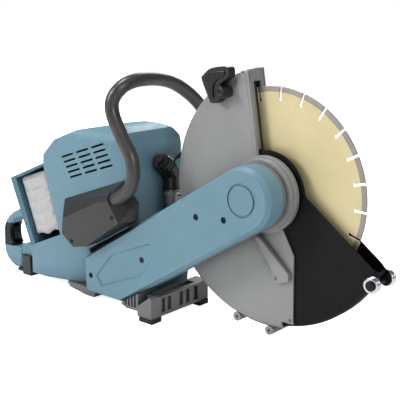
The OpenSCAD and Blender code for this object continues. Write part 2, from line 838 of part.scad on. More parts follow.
skid_front = -175;   // front and back faces of the skid's cross beam
skid_back = -206;
module front_skid() {
    b = skid_back;
    f = skid_front;
    color("#5c5b5c") place() difference() {
        union() {
            // cross beam
            translate([b + 2, -62, -219]) cube([f - b - 2, 102, 33]);
            // right end block, its top rising forwards
            slab(-80, -62) polygon([[b, -219], [f, -219], [f, -186], [f - 4, -183], [b, -203]]);
            translate([b + 2, 40, -219]) cube([f - b - 4, 20, 33]);
            // ribbed web that rises to the arm
            slab(-78, -arm_in - 1)
                polygon([[-246, -207.6], [-237, -201.4], [b, -182.8], [b, -212], [-232, -213]]);
            translate([-240, -arm_in + 0.5, -219]) cube([b - -240 + 3, 84, 10.6]);
        }
        // pockets in the front face
        for (y = [-56, -42, -14, 2, 22]) translate([f - 7, y, -213]) cube([9, 9, 23]);
        translate([b + 8, -54, -192]) cube([14, 86, 8]);
        for (x = [b - 30 : 7 : b - 4]) translate([x, -79, -208]) cube([3.4, 36, 30]);
    }
}

module skid_pads() {
    color("#151516") place() for (y = [-79, 36])
        translate([skid_back + 2, y, -axis_h]) cube([skid_front - skid_back - 2, 23, 9]);
}

// ---- water feed ----
elbow_x = -220.4;
elbow_y = 20;
elbow_r = 14.3;
elbow_tilt = 52;      // lean of the elbow's upper end to the right
elbow_reach = 36;
module elbow_frame() { translate([elbow_x, elbow_y, 0]) rotate([elbow_tilt, 0, 0]) children(); }

module water_elbow() {
    color("#121214") place() difference() {
        union() {
            translate([elbow_x, elbow_y, -30]) cylinder(r = elbow_r, h = 30);
            translate([elbow_x, elbow_y, 0]) sphere(elbow_r);
            elbow_frame() {
                cylinder(r = elbow_r - 1, h = elbow_reach - 4);
                translate([0, 0, 10]) cylinder(r = elbow_r, h = 13);
                cylinder(r = 9, h = elbow_reach);
            }
            // stub into the housing's front wall
            translate([-235, elbow_y, -8]) rotate([0, 90, 0]) cylinder(r = 11, h = 12);
        }
        translate([elbow_x, elbow_y, -31]) cylinder(r = 8, h = 34);
    }
}

module water_pipe() {
    color("#c7c8ca") place() difference() {
        union() {
            translate([elbow_x, elbow_y, -76]) cylinder(r = 12, h = 46);
            translate([elbow_x, elbow_y, -40]) cylinder(r = elbow_r, h = 7);
        }
        translate([elbow_x, elbow_y, -77]) cylinder(r = 8, h = 60);
    }
}

module valve_lever() {
    color("#2a2a2c") place() elbow_frame() {
        translate([0, 0, elbow_reach + 0.3]) cylinder(r = 7, h = 5);
        translate([-2.5, -13, elbow_reach + 1]) cube([5, 9, 4.3]);
    }
}

hose_points = [[-221, 25, 14.6], [-220, 27.5, 17.8], [-219, 32, 23], [-219, 39, 26], [-223, 45, 24],
    [-228, 48, 19], [-232.4, 48, 16.5], [-234.9, 48, 16.5]];
module water_hose() { color("#101011") place() swept(smooth_route(hose_points, 4), 1.8, 0, 10); }

cutting_disc();
disc_segments();
inner_flange();
outer_flange();
disc_bolt();
spindle();
spindle_pulley();
spindle_bearings();
motor_stator();
motor_rotor();
motor_fan();
motor_pulley();
motor_bearings();
drive_belt();
arm_frame();
belt_cover();
belt_cover_screws();
guard_hub_ring();
guard_shell();
guard_left_plate();
guard_bolts();
guard_stop_rail();
slot_seal();
guard_lever();
lever_boss();
front_cover_right();
front_cover_left();
roller_axle();
right_roller();
left_roller();
upper_housing_right();
upper_housing_left();
base_housing_right();
base_housing_left();
battery_frame();
battery_terminals();
right_battery_door();
left_battery_door();
door_hinge_pins();
motor_controller();
side_bracket();
bracket_screws();
left_bracket();
handle_tube();
handle_sleeve();
rear_handle();
rear_grip();
trigger();
lock_off_lever();
lever_pins();
rear_foot();
middle_skid();
front_skid();
skid_pads();
water_elbow();
water_pipe();
valve_lever();
water_hose();
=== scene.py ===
"""A battery rescue saw on a plain pale floor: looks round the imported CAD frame."""

import json
import math

import bmesh
import bpy
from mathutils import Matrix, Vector


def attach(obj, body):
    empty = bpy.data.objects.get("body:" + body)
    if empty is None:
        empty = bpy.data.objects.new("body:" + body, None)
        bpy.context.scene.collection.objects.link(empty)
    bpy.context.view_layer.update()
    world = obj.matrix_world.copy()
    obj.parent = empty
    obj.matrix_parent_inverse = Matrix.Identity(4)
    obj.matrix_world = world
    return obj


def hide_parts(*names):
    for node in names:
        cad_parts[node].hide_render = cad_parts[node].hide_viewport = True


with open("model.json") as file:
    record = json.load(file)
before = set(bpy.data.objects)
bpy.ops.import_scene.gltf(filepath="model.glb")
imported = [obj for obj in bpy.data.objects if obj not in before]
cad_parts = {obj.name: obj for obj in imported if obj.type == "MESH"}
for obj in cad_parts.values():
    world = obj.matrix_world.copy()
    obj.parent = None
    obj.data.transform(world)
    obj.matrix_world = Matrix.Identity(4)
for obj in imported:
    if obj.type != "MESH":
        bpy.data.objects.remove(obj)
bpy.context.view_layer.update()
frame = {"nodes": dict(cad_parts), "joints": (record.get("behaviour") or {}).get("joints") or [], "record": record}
nodes = frame["nodes"]
joints = {j["name"]: j for j in frame["joints"]}
hub = Vector(joints["blade_spin"]["pos_m"])     # centre of the disc
MM = 0.001


def at(x, y, z):
    """A point given in millimetres from the disc's centre, in the row frame."""
    return hub + Vector((x, y, z)) * MM


# ---- camera, light and floor ----
scene = bpy.context.scene
camera_data = bpy.data.cameras.new("camera")
camera_data.lens = 76.5
camera_data.sensor_width = 36
camera = bpy.data.objects.new("camera", camera_data)
camera.location = at(706.6, -979.6, 266.9)
camera.rotation_euler = (math.radians(90 - 13.071), 0, math.radians(40.938))
scene.collection.objects.link(camera)
scene.camera = camera
scene.view_settings.view_transform = "Standard"


def area_light(name, place, target, size, power):
    data = bpy.data.lights.new(name, "AREA")
    data.shape = "DISK"
    data.size = size
    data.energy = power
    ob = bpy.data.objects.new(name, data)
    ob.location = place
    ob.rotation_euler = (Vector(target) - Vector(place)).to_track_quat("-Z", "Y").to_euler()
    scene.collection.objects.link(ob)
    return ob


middle = (0, 0, 0.2)
area_light("key", (-1.6, -2.3, 1.7), middle, 1.1, 51)
area_light("fill", (2.4, -1.2, 1.4), middle, 1.3, 26)
area_light("top", (-0.6, -0.4, 2.6), middle, 1.0, 40)
area_light("rim", (-1.2, 2.2, 1.6), middle, 1.4, 34)


WORLD_GLOW = 0.16      # how strongly the surroundings light the saw; the camera sees plain white


def set_world():
    world = bpy.data.worlds.new("world")
    scene.world = world
    world.use_nodes = True
    tree = world.node_tree
    tree.nodes.clear()
    seen = tree.nodes.new("ShaderNodeBackground")
    seen.inputs["Color"].default_value = (1, 1, 1, 1)
    seen.inputs["Strength"].default_value = 1.0
    lit = tree.nodes.new("ShaderNodeBackground")
    lit.inputs["Color"].default_value = (0.96, 0.98, 1, 1)
    lit.inputs["Strength"].default_value = WORLD_GLOW
    path = tree.nodes.new("ShaderNodeLightPath")
    mix = tree.nodes.new("ShaderNodeMixShader")
    out = tree.nodes.new("ShaderNodeOutputWorld")
    tree.links.new(path.outputs["Is Camera Ray"], mix.inputs[0])
    tree.links.new(lit.outputs[0], mix.inputs[1])
    tree.links.new(seen.outputs[0], mix.inputs[2])
    tree.links.new(mix.outputs[0], out.inputs[0])


set_world()


# ---- materials ----
def linear(r, g, b):
    """An 8-bit display colour as the linear one that the shader takes."""
    return tuple((c / 255 / 12.92) if c < 10.3 else ((c / 255 + 0.055) / 1.055) ** 2.4 for c in (r, g, b))


def scaled(colour, k):
    return tuple(min(1, c * k) for c in colour)


class Tree:
    """A short way to write a material's nodes."""

    def __init__(self, name):
        self.material = bpy.data.materials.new(name)
        self.material.use_nodes = True
        self.nt = self.material.node_tree
        self.bsdf = self.nt.nodes["Principled BSDF"]
        self.place = self.node("ShaderNodeTexCoord").outputs["Object"]

    def node(self, kind, links=None, **values):
        n = self.nt.nodes.new(kind)
        for key, value in values.items():
            if hasattr(n, key):
                setattr(n, key, value)
            else:
                n.inputs[key.replace("_", " ")].default_value = value
        for key, source in (links or {}).items():
            self.link(source, n.inputs[key])
        return n

    def link(self, source, target):
        self.nt.links.new(source, target)

    def noise(self, scale, detail=3, rough=0.55, vector=None):
        n = self.node("ShaderNodeTexNoise", {"Vector": vector or self.place})
        n.inputs["Scale"].default_value = scale
        n.inputs["Detail"].default_value = detail
        n.inputs["Roughness"].default_value = rough
        return n.outputs["Fac"]

    def span(self, value, from_lo, from_hi, to_lo, to_hi):
        n = self.node("ShaderNodeMapRange", {"Value": value})
        for key, v in (("From Min", from_lo), ("From Max", from_hi), ("To Min", to_lo), ("To Max", to_hi)):
            n.inputs[key].default_value = v
        return n.outputs[0]

    def math(self, op, a, b=None):
        n = self.node("ShaderNodeMath", operation=op)
        for i, v in enumerate((a, b)):
            if v is None:
                continue
            if isinstance(v, (int, float)):
                n.inputs[i].default_value = v
            else:
                self.link(v, n.inputs[i])
        return n.outputs[0]

    def mix(self, factor, a, b, blend="MIX"):
        n = self.node("ShaderNodeMix", data_type="RGBA", blend_type=blend)
        sockets = [s for s in n.inputs if s.type == "RGBA"]
        if isinstance(factor, (int, float)):
            n.inputs[0].default_value = factor
        else:
            self.link(factor, n.inputs[0])
        for socket, value in zip(sockets, (a, b)):
            if isinstance(value, tuple):
                socket.default_value = (*value, 1)
            else:
                self.link(value, socket)
        return [s for s in n.outputs if s.type == "RGBA"][0]

    def scaled_place(self, x, y, z):
        n = self.node("ShaderNodeMapping", {"Vector": self.place})
        n.inputs["Scale"].default_value = (x, y, z)
        return n.outputs[0]


# reach of the painted shade that darkens the colour in nooks and between parts
NOOK_REACH = 0.07      # metres within which a facing surface darkens another


def edge_amount(t, radius):
    """0 on flat faces, rising to 1 along outer edges and creases."""
    rounded = t.node("ShaderNodeBevel", samples=6)
    rounded.inputs["Radius"].default_value = radius
    true = t.node("ShaderNodeNewGeometry").outputs["Normal"]
    dot = t.node("ShaderNodeVectorMath", {0: rounded.outputs[0], 1: true}, operation="DOT_PRODUCT")
    return t.span(dot.outputs["Value"], 1.0, 0.8, 0, 1)


def finish(name, colour, rough, metal=0.0, mottle=0.07, mottle_scale=28, grain_scale=1500, grain=0.12,
           wear_and_highlight=0.0, wear_and_highlight_colour=None, wear_and_highlight_radius=0.0012, rough_spread=0.08, specular=0.5, coat=0.0,
           stretch=None, streaks=0.0, painted_nook_shade=0.62):
    """A finish with slow colour variation, a fine surface grain, uneven gloss, rubbed edges that are partly
    a painted edge highlight, and painted shade in the nooks. stretch gives the grain's scale along each axis,
    and streaks its share of the colour."""
    t = Tree(name)
    b = t.bsdf
    slow = t.span(t.noise(mottle_scale, 4, 0.6), 0.3, 0.7, 0, 1)
    tone = t.mix(slow, scaled(colour, 1 - mottle), scaled(colour, 1 + mottle))
    fine_place = t.scaled_place(*stretch) if stretch else t.place
    fine = t.noise(grain_scale, 2, 0.5, fine_place)
    if streaks:
        tone = t.mix(t.span(fine, 0.35, 0.65, 0, streaks), tone, scaled(colour, 1.5))
    # lighter colour along edges: partly rubbed wear, partly a painted edge highlight
    if wear_and_highlight:
        patchy = t.span(t.noise(90, 4, 0.7), 0.42, 0.68, 0, wear_and_highlight)
        rubbed_and_highlit = t.math("MULTIPLY", edge_amount(t, wear_and_highlight_radius), patchy)
        tone = t.mix(rubbed_and_highlit, tone, wear_and_highlight_colour or scaled(colour, 1.7))
    # painted shade: the base colour is darkened by occlusion in nooks, under parts and between them
    if painted_nook_shade:
        nook = t.node("ShaderNodeAmbientOcclusion", samples=8)
        nook.inputs["Distance"].default_value = NOOK_REACH
        shade = t.span(nook.outputs["AO"], 0.1, 0.8, 1 - painted_nook_shade, 1)
        grey = t.node("ShaderNodeCombineColor")
        for socket in grey.inputs[:3]:
            t.link(shade, socket)
        tone = t.mix(1.0, tone, grey.outputs[0], "MULTIPLY")
    t.link(tone, b.inputs["Base Color"])
    gloss = t.span(t.noise(mottle_scale * 4, 5, 0.65), 0.3, 0.7, rough - rough_spread, rough + rough_spread)
    t.link(gloss, b.inputs["Roughness"])
    bump = t.node("ShaderNodeBump", {"Height": fine})
    bump.inputs["Strength"].default_value = grain
    bump.inputs["Distance"].default_value = 0.0004
    t.link(bump.outputs[0], b.inputs["Normal"])
    b.inputs["Metallic"].default_value = metal
    b.inputs["Specular IOR Level"].default_value = specular
    b.inputs["Coat Weight"].default_value = coat
    b.inputs["Coat Roughness"].default_value = 0.25
    return t


def ring_place(t, scale):
    """Coordinates that change with the distance from the disc's axis and hardly along a circle."""
    shifted = t.node("ShaderNodeVectorMath", {0: t.place}, operation="SUBTRACT")
    shifted.inputs[1].default_value = hub
    flat = t.node("ShaderNodeVectorMath", {0: shifted.outputs[0]}, operation="MULTIPLY")
    flat.inputs[1].default_value = (1, 0, 1)
    length = t.node("ShaderNodeVectorMath", {0: flat.outputs[0]}, operation="LENGTH").outputs["Value"]
    both = t.node("ShaderNodeCombineXYZ")
    t.link(t.math("MULTIPLY", length, scale), both.inputs[0])
    return both.outputs[0]


TEAL = linear(106, 142, 158)
BAY_TEAL = linear(76, 114, 131)
GUARD = linear(152, 152, 152)
COVER = linear(11, 11, 12)
GOLD = linear(222, 207, 160)

M = {     # one material for each of the record's slots
    # the teal's pale edge colour is a painted edge highlight as much as wear, and its nooks get strong painted
    # shade
    "teal_shell": finish("teal_plastic", TEAL, 0.46, painted_nook_shade=0.8, wear_and_highlight=0.22, wear_and_highlight_colour=linear(165, 195, 205),
                         mottle=0.045, grain=0.16, specular=0.42).material,
    "bay_shell": finish("bay_plastic", BAY_TEAL, 0.48, wear_and_highlight=0.2, mottle=0.05, grain=0.16,
                        specular=0.4).material,
    # the guard's pale edges are partly worn paint and partly a painted edge highlight
    "guard_alloy": finish("guard_paint", GUARD, 0.42, metal=0.25, wear_and_highlight=0.45,
                          wear_and_highlight_colour=linear(215, 215, 215), mottle=0.05, mottle_scale=14,
                          grain_scale=700, grain=0.22).material,
    "cover_black": finish("cover_paint", COVER, 0.58, specular=0.22, mottle=0.12, grain_scale=60, grain=0.1,
                          stretch=(1, 1, 22), streaks=0.16, wear_and_highlight=0.3,
                          wear_and_highlight_colour=linear(90, 90, 92)).material,
    "turned_steel": finish("turned_steel", linear(165, 167, 170), 0.32, metal=0.9, mottle=0.08,
                           grain_scale=900, grain=0.1).material,
    "bright_chrome": finish("bright_chrome", linear(222, 223, 225), 0.2, metal=0.95, mottle=0.06,
                            mottle_scale=60, grain_scale=500, grain=0.05, rough_spread=0.05).material,
    "cast_grey": finish("cast_grey", linear(135, 137, 140), 0.5, metal=0.6, mottle=0.1,
                        grain_scale=900, grain=0.35).material,
    "dark_bracket": finish("dark_bracket", linear(42, 40, 42), 0.36, mottle=0.07, grain=0.2,
                           specular=0.55, painted_nook_shade=0.35, wear_and_highlight=0.4, wear_and_highlight_colour=linear(165, 163, 163)).material,
    "handle_rubber": finish("handle_rubber", linear(60, 57, 58), 0.36, mottle=0.08, grain_scale=1100,
                            grain=0.18, specular=0.65).material,
    "tube_alloy": finish("tube_alloy", linear(190, 191, 192), 0.38, metal=0.6, mottle=0.06,
                         grain=0.1).material,
    "skid_grey": finish("skid_plastic", linear(116, 114, 115), 0.46, mottle=0.09, grain=0.22, wear_and_highlight=0.4,
                        wear_and_highlight_colour=linear(190, 188, 188)).material,
    "black_rubber": finish("black_rubber", linear(30, 30, 30), 0.7, mottle=0.12, grain_scale=900,
                           grain=0.35).material,
    "black_plastic": finish("black_plastic", linear(17, 17, 18), 0.3, mottle=0.12, grain=0.15, wear_and_highlight=0.5,
                            wear_and_highlight_colour=linear(95, 95, 97), specular=0.6).material,
    "lever_grey": finish("lever_plastic", linear(38, 37, 39), 0.38, mottle=0.08, grain=0.2, wear_and_highlight=0.5,
                         wear_and_highlight_colour=linear(130, 130, 130)).material,
    "copper": finish("copper_winding", linear(184, 110, 70), 0.35, metal=0.8, mottle=0.1,
                     grain_scale=120, grain=0.6, stretch=(1, 12, 1)).material,
    "dark_screw": finish("dark_screw", linear(34, 40, 48), 0.38, metal=0.7, mottle=0.1,
                         grain=0.15).material,
    "valve_alloy": finish("valve_alloy", linear(190, 190, 192), 0.38, metal=0.6, mottle=0.06,
                          grain=0.12).material,
}


def disc_finish():
    """Pale gold lacquer with faint turned rings and a slow, uneven tone."""
    t = finish("disc_gold", GOLD, 0.4, metal=0.15, mottle=0.045, mottle_scale=22, grain=0.06)
    rings = t.noise(1.0, 6, 0.75, ring_place(t, 900))
    tone = t.bsdf.inputs["Base Color"].links[0].from_socket
    t.link(t.mix(t.span(rings, 0.3, 0.7, 0, 0.3), tone, scaled(GOLD, 0.86)), t.bsdf.inputs["Base Color"])
    t.link(t.span(rings, 0.3, 0.7, 0.33, 0.5), t.bsdf.inputs["Roughness"])
    return t.material


def segment_finish():
    """Sintered metal with diamond grit."""
    steel = linear(160, 152, 150)
    t = finish("segment_sinter", steel, 0.48, metal=0.5, mottle=0.1, grain_scale=1400, grain=0.4)
    grit = t.node("ShaderNodeTexVoronoi", {"Vector": t.place})
    grit.inputs["Scale"].default_value = 1300
    tone = t.bsdf.inputs["Base Color"].links[0].from_socket
    t.link(t.mix(t.span(grit.outputs["Distance"], 0.0, 0.35, 0.7, 0), tone, linear(215, 210, 200)),
           t.bsdf.inputs["Base Color"])
    return t.material


def door_finish():
    """Milky translucent plastic."""
    milk = linear(184, 183, 184)
    t = finish("clear_door", milk, 0.26, mottle=0.012, mottle_scale=18, grain=0.03, rough_spread=0.03,
               coat=0.15, painted_nook_shade=0.35)
    t.bsdf.inputs["Subsurface Weight"].default_value = 0.1
    t.bsdf.inputs["Subsurface Radius"].default_value = (1, 1, 1)
    t.bsdf.inputs["Subsurface Scale"].default_value = 0.003
    return t.material


M["disc_gold"] = disc_finish()
M["segment_steel"] = segment_finish()
M["clear_door"] = door_finish()

# ---- the CAD nodes: finish and softened edges ----
SOFT_EDGE = 0.0006
EDGE = {"belt_cover": 0.0012, "upper_housing_right": 0.0004, "upper_housing_left": 0.0004,
        "base_housing_right": 0.0012, "base_housing_left": 0.0012, "battery_frame": 0.0014,
        "side_bracket": 0.0016, "left_bracket": 0.0018, "front_skid": 0.0009, "middle_skid": 0.0016,
        "guard_shell": 0.0005, "guard_stop_rail": 0.0014, "front_cover_right": 0.0004,
        "front_cover_left": 0.0004, "arm_frame": 0.0009, "rear_foot": 0.0014, "skid_pads": 0.0014}
slot_of = {part["node"]: part["material_slot"] for part in frame["record"]["subparts"]}


def soften(ob, width, segments=3, angle=28):
    """Rounds an object's hard edges and shades the rest smooth, with modifiers only."""
    ob.data.polygons.foreach_set("use_smooth", [True] * len(ob.data.polygons))
    weld = ob.modifiers.new("weld", "WELD")
    weld.merge_threshold = 2e-6
    if "upper_housing" not in ob.name:      # its rows of slots don't survive as one face
        flat = ob.modifiers.new("flat", "DECIMATE")
        flat.decimate_type = "DISSOLVE"
        flat.angle_limit = math.radians(0.5)
    bevel = ob.modifiers.new("bevel", "BEVEL")
    bevel.width = width
    bevel.segments = segments
    bevel.limit_method = "ANGLE"
    bevel.angle_limit = math.radians(angle)
    bevel.harden_normals = True
    bevel.miter_outer = "MITER_ARC"
    weighted = ob.modifiers.new("weighted", "WEIGHTED_NORMAL")
    weighted.keep_sharp = True


for name, ob in nodes.items():
    ob.data.materials.clear()
    ob.data.materials.append(M[slot_of[name]])
    for attribute in [a for a in ob.data.attributes if a.name == "custom_normal"]:
        ob.data.attributes.remove(attribute)
    soften(ob, EDGE.get(name, SOFT_EDGE))


# ---- new pieces ----
def piece(name, mesh_builder, body, slot, replaced=(), material=None):
    """Makes an object from a function that fills a bmesh, and puts it on its body."""
    mesh = bpy.data.meshes.new(name)
    bm = bmesh.new()
    mesh_builder(bm)
    bmesh.ops.recalc_face_normals(bm, faces=bm.faces)
    bm.to_mesh(mesh)
    bm.free()
    ob = bpy.data.objects.new(name, mesh)
    scene.collection.objects.link(ob)
    mesh.polygons.foreach_set("use_smooth", [True] * len(mesh.polygons))
    mesh.materials.append(material or M[slot])
    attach(ob, body)
    if replaced:
        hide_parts(*replaced)
    return ob


def spline(points, steps):
    """A Catmull-Rom curve through the points, with the ends held."""
    def p(i):
        return Vector(points[max(0, min(len(points) - 1, i))])
    out = []
    for i in range(len(points) - 1):
        a, b, c, d = p(i - 1), p(i), p(i + 1), p(i + 2)
        for k in range(steps):
            t = k / steps
            out.append(0.5 * (2 * b + (c - a) * t + (2 * a - 5 * b + 4 * c - d) * t * t
                              + (3 * b - a - 3 * c + d) * t ** 3))
    out.append(p(len(points) - 1))
    return out


def bridge(bm, rings):
    """Joins each ring of vertices to the next with a band of four-sided faces."""
    for one, two in zip(rings, rings[1:]):
        count = len(one)
        for k in range(count):
            q = (k + 1) % count
            bm.faces.new((one[k], one[q], two[q], two[k]))


def cap_rings(bm, rings):
    """Bridges the rings and caps both ends, the first as it runs and the last reversed."""
    bridge(bm, rings)
    bm.faces.new(rings[0])
    bm.faces.new(list(reversed(rings[-1])))


def sweep(bm, route, radii, sides=40, side=Vector((0, 0.2, 1))):
    """Sweeps a circle along a route in metres; radii gives each ring's radius. Both ends are closed."""
    rings = []
    for i, centre in enumerate(route):
        ahead = (route[min(i + 1, len(route) - 1)] - route[max(i - 1, 0)]).normalized()
        side = (side - side.dot(ahead) * ahead).normalized()
        other = ahead.cross(side)
        rings.append([bm.verts.new(centre + radii[i] * (math.cos(a) * side + math.sin(a) * other))
                      for a in (2 * math.pi * k / sides for k in range(sides))])
    bridge(bm, rings)
    bm.faces.new(list(reversed(rings[0])))
    bm.faces.new(rings[-1])


handle_points = [(-266, -88, -47), (-250, -88, -38), (-236, -88, -31), (-220, -88, -21),
                 (-207, -88, -7), (-201, -88, 12), (-205, -88, 38), (-225, -88, 68), (-243, -88, 100),
                 (-245, -86, 122), (-237, -76, 140), (-232, -56, 149), (-230, -28, 151), (-230, 0, 149),
                 (-229, 30, 142), (-228, 60, 127), (-228, 90, 106), (-229, 118, 78), (-232, 142, 42),
                 (-236, 160, 0), (-242, 167, -36), (-254, 160, -66), (-272, 136, -86), (-292, 106, -93),
                 (-312, 78, -94)]
SLEEVE_R = 10.95 * MM


def sleeve(bm):
    route = [at(*p) for p in spline(handle_points, 9)][12:-6]
    radii = [SLEEVE_R] * len(route)
    for i, r in enumerate((0.93, 0.98)):
        radii[i] = radii[-1 - i] = SLEEVE_R * r
    sweep(bm, route, radii, 48)


piece("handle_sleeve_skin", sleeve, "frame", "handle_rubber", ["handle_sleeve"])


def lathe(bm, x, z, profile, sides=64):
    """Turns a closed profile of (radius, y) about an axis along Y through (x, z), in millimetres."""
    rings = [[bm.verts.new(at(x + r * math.cos(a), y, z + r * math.sin(a)))
              for a in (2 * math.pi * k / sides for k in range(sides))] for r, y in profile]
    bridge(bm, rings + rings[:1])


def smooth_loop(points, steps):
    """A closed Catmull-Rom curve through (x, z) points."""
    n = len(points)
    ring = [points[(i - 1) % n] for i in range(n + 3)]
    out = []
    for i in range(1, n + 1):
        a, b, c, d = (Vector(ring[i + k]) for k in (-1, 0, 1, 2))
        for k in range(steps):
            t = k / steps
            out.append(0.5 * (2 * b + (c - a) * t + (2 * a - 5 * b + 4 * c - d) * t * t
                              + (3 * b - a - 3 * c + d) * t ** 3))
    return out


def slab(bm, outline, y0, y1):
    """A flat plate with an (x, z) outline in millimetres, from y0 to y1."""
    faces = [[bm.verts.new(at(x, y, z)) for x, z in outline] for y in (y0, y1)]
    count = len(outline)
    bm.faces.new(faces[0])
    bm.faces.new(list(reversed(faces[1])))
    for k in range(count):
        q = (k + 1) % count
        bm.faces.new((faces[0][k], faces[0][q], faces[1][q], faces[1][k]))


def round_edges(ob, width, segments=5, angle=40):
    bevel = ob.modifiers.new("bevel", "BEVEL")
    bevel.width = width * MM
    bevel.segments = segments
    bevel.limit_method = "ANGLE"
    bevel.angle_limit = math.radians(angle)
    bevel.harden_normals = True
    weighted = ob.modifiers.new("weighted", "WEIGHTED_NORMAL")
    weighted.keep_sharp = True


def settle(ob):
    """Applies the modifiers to the object's own mesh."""
    graph = bpy.context.evaluated_depsgraph_get()
    made = bpy.data.meshes.new_from_object(ob.evaluated_get(graph))
    ob.modifiers.clear()
    ob.data = made


def carve(ob, boxes):
    """Cuts boxes, each (x0, x1, y0, y1, z0, z1) in millimetres from the disc's centre, out of a piece."""
    for x0, x1, y0, y1, z0, z1 in boxes:
        mesh = bpy.data.meshes.new("cutter")
        bm = bmesh.new()
        slab(bm, [(x0, z0), (x1, z0), (x1, z1), (x0, z1)], y0, y1)
        bmesh.ops.recalc_face_normals(bm, faces=bm.faces)
        bm.to_mesh(mesh)
        bm.free()
        cutter = bpy.data.objects.new("cutter", mesh)
        scene.collection.objects.link(cutter)
        boolean = ob.modifiers.new("cut", "BOOLEAN")
        boolean.object = cutter
        boolean.solver = "EXACT"
        bpy.context.view_layer.update()
        settle(ob)
        bpy.data.objects.remove(cutter)


# ---- battery doors ----
hinge_low = (-407.5, -119)
lean = math.atan2(39, 117)
DOOR_FACE = 60
DOOR_NARROW, DOOR_WIDE, DOOR_HIGH = 69, 76, 112
RIPPLE_PITCH, RIPPLE_DEPTH = 21.5, 3.0
KNUCKLES = ((6, 32), (42, 78), (88, 106))     # lower and upper end of each along the hinge
KNUCKLE_R = 3.2


def ease(t):
    t = max(0.0, min(1.0, t))
    return t * t * (3 - 2 * t)


def on_door(u, y, w, left):
    """A point on the leaning door: u back from its hinge, w up it; the left door mirrors the right one."""
    x = hinge_low[0] + u * math.cos(lean) - w * math.sin(lean)
    z = hinge_low[1] + u * math.sin(lean) + w * math.cos(lean)
    return at(x, -12 - y if left else y, z)


def rounded_square(a, b, r_a, r_b):
    """Moves a point of the square from -1 to 1 so that the square's corners become round."""
    def split(v, r):
        core = max(-(1 - r), min(1 - r, v))
        return core, (v - core) / r
    ca, da = split(a, r_a)
    cb, db = split(b, r_b)
    return ca + r_a * da * math.sqrt(1 - db * db / 2), cb + r_b * db * math.sqrt(1 - da * da / 2)


def door(left):
    def build(bm):
        across, up = 28, 120
        faces = {}
        for side in (0, 1):
            for i in range(across + 1):
                for j in range(up + 1):
                    a, b = rounded_square(2 * i / across - 1, 2 * j / up - 1, 0.2, 0.14)
                    height = 3 + (b + 1) / 2 * (DOOR_HIGH - 4.5)
                    width = DOOR_NARROW + (DOOR_WIDE - DOOR_NARROW) * height / DOOR_HIGH - 5
                    u = -4.5 - (1 - (a + 1) / 2) * width
                    wave = 2.4 * math.sin(math.pi * (a + 1) * 1.6) * ease((-0.75 - b) / 0.25)
                    edge = min((1 - abs(a)) * width / 2, (1 - abs(b)) * DOOR_HIGH / 2)
                    phase = (height / RIPPLE_PITCH) % 1
                    ripple = ease(phase / 0.7) if phase < 0.7 else ease((1 - phase) / 0.3)
                    out = 0.4 + 1.8 * ease(edge / 3) + RIPPLE_DEPTH * ripple * ease(edge / 9)
                    y = -DOOR_FACE - out * side
                    faces[side, i, j] = bm.verts.new(on_door(u, y, height + wave, left))
        for i in range(across):
            for j in range(up):
                for side in (0, 1):
                    bm.faces.new([faces[side, *c] for c in ((i, j), (i + 1, j), (i + 1, j + 1), (i, j + 1))])
        rim = [(i, 0) for i in range(across)] + [(across, j) for j in range(up)]
        rim += [(i, up) for i in range(across, 0, -1)] + [(0, j) for j in range(up, 0, -1)]
        for one, two in zip(rim, rim[1:] + rim[:1]):
            bm.faces.new((faces[0, *one], faces[0, *two], faces[1, *two], faces[1, *one]))
        # three hinge knuckles, and the strap that joins each to the panel
        for low, high in KNUCKLES:
            span = high - low
            route = [on_door(0, -DOOR_FACE - 1.5, low + span * k / 8, left) for k in range(9)]
            radii = [(KNUCKLE_R if 0 < k < 8 else KNUCKLE_R - 0.5) * MM for k in range(9)]
            sweep(bm, route, radii, 24, Vector((0, 1, 0)))
            corners = [(u, y, w) for u in (-7, -1) for y in (-DOOR_FACE - 0.4, -DOOR_FACE - 2.6)
                       for w in (low + 1.5, high - 1.5)]
            v = [bm.verts.new(on_door(*c, left)) for c in corners]
            for f in ((0, 1, 3, 2), (4, 6, 7, 5), (0, 4, 5, 1), (2, 3, 7, 6), (0, 2, 6, 4), (1, 5, 7, 3)):
                bm.faces.new([v[k] for k in f])
    return build


piece("right_door_panel", door(False), "right_door", "clear_door", ["right_battery_door"])
piece("left_door_panel", door(True), "left_door", "clear_door", ["left_battery_door"])

# ---- guard lever and its knob ----
LEVER = (-72, 142)
GUARD_FACE = -18
lever_outline = [(-111, 158), (-108, 164), (-103, 169), (-95, 174), (-83, 177), (-68, 178.6), (-62, 176),
                 (-60.4, 170), (-62, 163), (-71, 157), (-77, 152), (-74, 150), (-67, 147.5), (-64, 142),
                 (-66, 136), (-71, 133), (-77, 132), (-80, 129), (-84, 125), (-91, 124.6), (-96, 128)]


def lever_body(bm):
    slab(bm, smooth_loop(lever_outline, 4), GUARD_FACE - 15.6, GUARD_FACE - 0.05)


def lever_rib(bm):
    rib = [(-104, 158), (-101, 163), (-93, 168), (-82, 171), (-70, 172), (-66.5, 169), (-70, 164.5),
           (-79, 160), (-86, 153), (-88.5, 144), (-87, 134), (-90, 131), (-94, 133)]
    slab(bm, smooth_loop(rib, 4), GUARD_FACE - 18, GUARD_FACE - 12)


round_edges(piece("guard_lever_body", lever_body, "guard", "lever_grey", ["guard_lever"]), 4, 6)
round_edges(piece("guard_lever_rib", lever_rib, "guard", "black_plastic"), 1.4, 4)


def lever_bridge(bm):
    """The arched part that reaches over the guard's rim."""
    section = [(180.6, -25.6), (188.6, -25.6), (190.6, -18), (190.6, -5.4), (186.8, -0.6), (180.6, -2.2)]
    steps = 12
    rings = []
    for k in range(steps + 1):
        a = math.radians(115 + 10 * k / steps)
        rings.append([bm.verts.new(at(r * math.cos(a), y, r * math.sin(a))) for r, y in section])
    cap_rings(bm, rings)


round_edges(piece("guard_lever_bridge", lever_bridge, "guard", "lever_grey"), 1.8, 4, 25)


